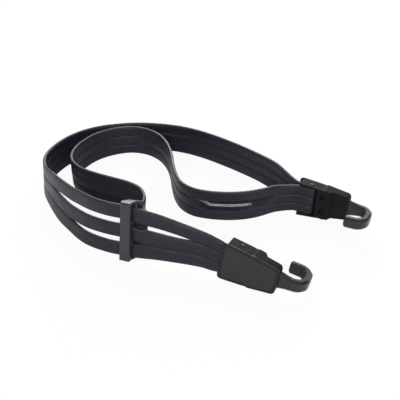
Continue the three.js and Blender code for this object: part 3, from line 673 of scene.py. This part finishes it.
def add_drive(mesh):
    """The sunk cross, as a square patch at the top of the head. Gives back the patch's outer edges."""
    made = bmesh.ops.create_grid(
        mesh, x_segments=DRIVE_SQUARES, y_segments=DRIVE_SQUARES, size=DRIVE_HALF)
    bmesh.ops.translate(mesh, verts=made["verts"], vec=(0, 0, SCREW_HEAD_HEIGHT))
    outer = [edge for edge in mesh.edges if edge.is_boundary]
    cross = []
    for face in mesh.faces:
        centre = face.calc_center_median()
        if min(abs(centre.x), abs(centre.y)) < DRIVE_HALF / DRIVE_SQUARES:
            cross.append(face)
    bmesh.ops.inset_region(mesh, faces=cross, thickness=DRIVE_DRAFT, depth=-DRIVE_DEPTH)
    return outer


def make_screw(name, fitting, across, body):
    """One screw in its place in a hook."""
    mesh = bmesh.new()
    loop = add_drive(mesh)
    for radius, height in SCREW_RINGS:
        made = bmesh.ops.create_circle(mesh, segments=SCREW_SIDES, radius=radius)
        bmesh.ops.translate(mesh, verts=made["verts"], vec=(0, 0, height))
        ring = list({edge for vertex in made["verts"] for edge in vertex.link_edges})
        bmesh.ops.bridge_loops(mesh, edges=[*loop, *ring])
        loop = ring
    bmesh.ops.holes_fill(mesh, edges=loop, sides=0)
    bmesh.ops.recalc_face_normals(mesh, faces=mesh.faces)
    bmesh.ops.transform(mesh, matrix=HEAD_BACKWARDS.to_4x4(), verts=mesh.verts)
    bmesh.ops.translate(mesh, verts=mesh.verts, vec=(SCREW_INSET, -BODY_BACK - CLEARANCE, across))
    place, turn = fitting
    bmesh.ops.transform(mesh, matrix=Matrix.Translation(place) @ turn.to_4x4(), verts=mesh.verts)
    for edge in mesh.edges:
        edge.smooth = edge.calc_face_angle(0) < SHARP_ANGLE
    for face in mesh.faces:
        face.smooth = True
    piece = add_piece(name + "_cross", mesh)
    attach(piece, body)
    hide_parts(name)
    return piece


screws = []
for end, flip in (("front", -1), ("rear", 1)):
    for level, side in (("upper", 1), ("lower", -1)):
        across = flip * side * SCREW_SPREAD / 2
        screws.append(make_screw(f"{end}_screw_{level}", FITTINGS[end], across, end + "_hook"))

# %% [markdown]
# ## Finishes
# Rubber and moulded nylon differ in colour by little and in gloss by a lot. A plain colour would look
# like paint, so all get a fine grain from noise, which moves the roughness and lifts the surface. The
# grain is shared, so it is one node group. The rubber adds the fine lines that an extruded strap carries
# along its length, and shines where the middle strand rolls.

# %% Shared grain
GRAIN_DETAIL = 3
CLOUD_SCALE = 60
CLOUD_DETAIL = 5
SPECK_LOW = 0.42
SPECK_HIGH = 0.66


def make_grain_group():
    """Noise for roughness, height and tint, from the piece's own coordinates."""
    group = bpy.data.node_groups.new("moulded_grain", "ShaderNodeTree")
    for name in ("Scale", "Roughness Low", "Roughness High"):
        group.interface.new_socket(name, in_out="INPUT", socket_type="NodeSocketFloat")
    for name in ("Roughness", "Height", "Cloud", "Speck"):
        group.interface.new_socket(name, in_out="OUTPUT", socket_type="NodeSocketFloat")
    nodes, links = group.nodes, group.links
    inputs = nodes.new("NodeGroupInput")
    outputs = nodes.new("NodeGroupOutput")
    place = nodes.new("ShaderNodeTexCoord")
    grain = nodes.new("ShaderNodeTexNoise")
    grain.inputs["Detail"].default_value = GRAIN_DETAIL
    cloud = nodes.new("ShaderNodeTexNoise")
    cloud.inputs["Scale"].default_value = CLOUD_SCALE
    cloud.inputs["Detail"].default_value = CLOUD_DETAIL
    spread = nodes.new("ShaderNodeMapRange")
    speck = nodes.new("ShaderNodeMapRange")
    speck.inputs["From Min"].default_value = SPECK_LOW
    speck.inputs["From Max"].default_value = SPECK_HIGH
    links.new(place.outputs["Object"], grain.inputs["Vector"])
    links.new(place.outputs["Object"], cloud.inputs["Vector"])
    links.new(inputs.outputs["Scale"], grain.inputs["Scale"])
    links.new(cloud.outputs["Fac"], spread.inputs["Value"])
    links.new(inputs.outputs["Roughness Low"], spread.inputs["To Min"])
    links.new(inputs.outputs["Roughness High"], spread.inputs["To Max"])
    links.new(grain.outputs["Fac"], speck.inputs["Value"])
    links.new(spread.outputs["Result"], outputs.inputs["Roughness"])
    links.new(grain.outputs["Fac"], outputs.inputs["Height"])
    links.new(cloud.outputs["Fac"], outputs.inputs["Cloud"])
    links.new(speck.outputs["Result"], outputs.inputs["Speck"])
    return group


GRAIN = make_grain_group()
grain_outputs = [item.name for item in GRAIN.interface.items_tree if item.in_out == "OUTPUT"]
print("shared grain puts out", grain_outputs)

# %% Finish of a moulded or plated piece
GRAIN_BUMP = 0.6


def make_finish(name, dark, light, roughness, grain_scale, grain_height,
                tint_by="Cloud", metallic=0.0, specular=0.5):
    """A grained finish between two close colours."""
    material = bpy.data.materials.new(name)
    material.use_nodes = True
    nodes, links = material.node_tree.nodes, material.node_tree.links
    shader = nodes["Principled BSDF"]
    shader.inputs["Metallic"].default_value = metallic
    shader.inputs["Specular IOR Level"].default_value = specular
    grain = nodes.new("ShaderNodeGroup")
    grain.name = "grain"
    grain.node_tree = GRAIN
    grain.inputs["Scale"].default_value = grain_scale
    grain.inputs["Roughness Low"].default_value = roughness[0]
    grain.inputs["Roughness High"].default_value = roughness[1]
    tint = nodes.new("ShaderNodeMix")
    tint.data_type = "RGBA"
    tint.inputs["A"].default_value = (*dark, 1)
    tint.inputs["B"].default_value = (*light, 1)
    bump = nodes.new("ShaderNodeBump")
    bump.name = "grain_bump"
    bump.inputs["Strength"].default_value = GRAIN_BUMP
    bump.inputs["Distance"].default_value = grain_height
    links.new(grain.outputs[tint_by], tint.inputs["Factor"])
    links.new(tint.outputs["Result"], shader.inputs["Base Color"])
    links.new(grain.outputs["Roughness"], shader.inputs["Roughness"])
    links.new(grain.outputs["Height"], bump.inputs["Height"])
    links.new(bump.outputs["Normal"], shader.inputs["Normal"])
    return material


hook_nylon = make_finish(
    "hook_nylon", dark=(0.006, 0.006, 0.007), light=(0.011, 0.011, 0.013),
    roughness=(0.22, 0.34), grain_scale=1500, grain_height=0.012 * MM, specular=0.5)
block_nylon = make_finish(
    "block_nylon", dark=(0.006, 0.006, 0.007), light=(0.012, 0.012, 0.014),
    roughness=(0.55, 0.7), grain_scale=1800, grain_height=0.05 * MM, specular=0.1)
border_nylon = make_finish(
    "border_nylon", dark=(0.006, 0.006, 0.007), light=(0.010, 0.010, 0.012),
    roughness=(0.35, 0.5), grain_scale=1800, grain_height=0.012 * MM, specular=0.3)
cover_nylon = make_finish(
    "cover_nylon", dark=(0.010, 0.0104, 0.0108), light=(0.033, 0.034, 0.0355),
    roughness=(0.5, 0.7), grain_scale=2600, grain_height=0.12 * MM, tint_by="Speck", specular=0.35)
slider_nylon = make_finish(
    "slider_nylon", dark=(0.013, 0.0137, 0.0165), light=(0.032, 0.033, 0.0385),
    roughness=(0.32, 0.48), grain_scale=1600, grain_height=0.06 * MM)
black_steel = make_finish(
    "black_steel", dark=(0.008, 0.008, 0.0085), light=(0.014, 0.014, 0.015),
    roughness=(0.38, 0.52), grain_scale=1500, grain_height=0.02 * MM, metallic=0.8, specular=0.3)
finishes = (hook_nylon, block_nylon, border_nylon, cover_nylon, slider_nylon, black_steel)
print("finishes:", [finish.name for finish in finishes])

# %% Finish of the strap
RIBS_ROUND = 38
RIB_HEIGHT = 0.05 * MM
RIB_BUMP = 0.5
POLISHED_SHARE = 0.22


def make_rubber():
    """The grained finish with fine lines along the strap, smoother where the middle strand rolls."""
    material = make_finish(
        "strap_rubber", dark=(0.009, 0.0098, 0.0155), light=(0.018, 0.0195, 0.030),
        roughness=(0.30, 0.44), grain_scale=1500, grain_height=0.1 * MM, tint_by="Speck", specular=0.3)
    nodes, links = material.node_tree.nodes, material.node_tree.links
    shader = nodes["Principled BSDF"]
    grain = nodes["grain"]
    grain_bump = nodes["grain_bump"]
    place = nodes.new("ShaderNodeUVMap")
    place.uv_map = "along_and_round"
    parts = nodes.new("ShaderNodeSeparateXYZ")
    turns = nodes.new("ShaderNodeMath")
    turns.operation = "MULTIPLY"
    turns.inputs[1].default_value = RIBS_ROUND * 2 * math.pi
    wave = nodes.new("ShaderNodeMath")
    wave.operation = "SINE"
    lines = nodes.new("ShaderNodeBump")
    lines.inputs["Strength"].default_value = RIB_BUMP
    lines.inputs["Distance"].default_value = RIB_HEIGHT
    polish = nodes.new("ShaderNodeAttribute")
    polish.attribute_name = "polish"
    dull = nodes.new("ShaderNodeMapRange")
    dull.inputs["To Min"].default_value = 1
    dull.inputs["To Max"].default_value = POLISHED_SHARE
    links.new(polish.outputs["Fac"], dull.inputs["Value"])
    for source, target in (
        (grain.outputs["Roughness"], shader.inputs["Roughness"]),
        (grain.outputs["Height"], grain_bump.inputs["Height"]),
        (wave.outputs["Value"], lines.inputs["Height"]),
    ):
        share = nodes.new("ShaderNodeMath")
        share.operation = "MULTIPLY"
        links.new(source, share.inputs[0])
        links.new(dull.outputs["Result"], share.inputs[1])
        links.new(share.outputs["Value"], target)
    links.new(place.outputs["UV"], parts.inputs["Vector"])
    links.new(parts.outputs["Y"], turns.inputs[0])
    links.new(turns.outputs["Value"], wave.inputs[0])
    links.new(lines.outputs["Normal"], grain_bump.inputs["Normal"])
    return material


strap_rubber = make_rubber()
print("the strap's finish is", strap_rubber.name)

# %% Finishes on their pieces
straps = (strap, strap_end)
for piece in straps:
    piece.data.materials.append(strap_rubber)
for end in FITTINGS:
    mouldings[end + "_hook"].data.materials.append(hook_nylon)
    mouldings[end + "_hook"].data.materials.append(block_nylon)
    mouldings[end + "_cover"].data.materials.append(border_nylon)
    mouldings[end + "_cover"].data.materials.append(cover_nylon)
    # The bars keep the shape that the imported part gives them, and only get their finish
    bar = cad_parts[end + "_bar"]
    bar.data.materials.clear()
    bar.data.materials.append(black_steel)
mouldings["slider"].data.materials.append(slider_nylon)
for screw in screws:
    screw.data.materials.append(black_steel)
print("pieces with a finish:", len(straps) + len(mouldings) + len(screws) + len(FITTINGS))

# %% [markdown]
# ## Studio
# The strap lies on white paper under soft light. A white floor alone would need so much light that the
# black rubber would turn grey. So camera rays see the floor and the world nearly white, while all other
# rays meet plain paper and a dimmer sky, and the object keeps a soft shadow. A softbox behind the object
# draws a light line along the upper edges of the strap. A long strip light in front of it draws the streak
# on the middle strand.

# %% Floor
FLOOR_HALF = 30
FLOOR_GLOW = 0.92
PAPER_COLOUR = (0.8, 0.8, 0.8, 1)
PAPER_ROUGHNESS = 0.9
WHITE = (1, 1, 1, 1)


def make_floor():
    """White paper that takes the shadow and glows to the camera alone."""
    mesh = bmesh.new()
    bmesh.ops.create_grid(mesh, x_segments=1, y_segments=1, size=FLOOR_HALF)
    floor = add_piece("floor", mesh)
    paper = bpy.data.materials.new("white_paper")
    paper.use_nodes = True
    nodes, links = paper.node_tree.nodes, paper.node_tree.links
    shader = nodes["Principled BSDF"]
    shader.inputs["Base Color"].default_value = PAPER_COLOUR
    shader.inputs["Roughness"].default_value = PAPER_ROUGHNESS
    glow = nodes.new("ShaderNodeEmission")
    glow.inputs["Color"].default_value = WHITE
    rays = nodes.new("ShaderNodeLightPath")
    share = nodes.new("ShaderNodeMath")
    share.operation = "MULTIPLY"
    share.inputs[1].default_value = FLOOR_GLOW
    mix = nodes.new("ShaderNodeMixShader")
    links.new(rays.outputs["Is Camera Ray"], share.inputs[0])
    links.new(share.outputs["Value"], mix.inputs["Fac"])
    links.new(shader.outputs["BSDF"], mix.inputs[1])
    links.new(glow.outputs["Emission"], mix.inputs[2])
    links.new(mix.outputs["Shader"], nodes["Material Output"].inputs["Surface"])
    floor.data.materials.append(paper)


make_floor()

# %% World
SKY_STRENGTH = 0.48
BACKDROP_STRENGTH = 1

scene = bpy.context.scene
scene.view_settings.view_transform = "Standard"
world = bpy.data.worlds.new("studio")
scene.world = world
world.use_nodes = True
sky_nodes, sky_links = world.node_tree.nodes, world.node_tree.links
lit = sky_nodes["Background"]
lit.inputs["Color"].default_value = WHITE
lit.inputs["Strength"].default_value = SKY_STRENGTH
backdrop = sky_nodes.new("ShaderNodeBackground")
backdrop.inputs["Color"].default_value = WHITE
backdrop.inputs["Strength"].default_value = BACKDROP_STRENGTH
sky_rays = sky_nodes.new("ShaderNodeLightPath")
sky = sky_nodes.new("ShaderNodeMixShader")
sky_links.new(sky_rays.outputs["Is Camera Ray"], sky.inputs["Fac"])
sky_links.new(lit.outputs["Background"], sky.inputs[1])
sky_links.new(backdrop.outputs["Background"], sky.inputs[2])
sky_links.new(sky.outputs["Shader"], sky_nodes["World Output"].inputs["Surface"])
print("world:", world.name)

# %% Lights
# Name, place in metres, width and height in metres, and power in watts
SOFTBOXES = [
    ("back_softbox", (-0.35, 0.8, 0.55), (0.7, 0.7), 11),
    ("front_softbox", (0.685, -1.345, 1.05), (1.8, 0.2), 26),
]


def add_softbox(name, place, size, power):
    """A soft light that faces the middle of the floor."""
    light = bpy.data.lights.new(name, "AREA")
    light.shape = "RECTANGLE"
    light.size, light.size_y = size
    light.energy = power
    box = bpy.data.objects.new(name, light)
    box.location = place
    box.rotation_euler = Vector(place).to_track_quat("Z", "Y").to_euler()
    scene.collection.objects.link(box)


for name, place, size, power in SOFTBOXES:
    add_softbox(name, place, size, power)
print("lights:", len(bpy.data.lights))
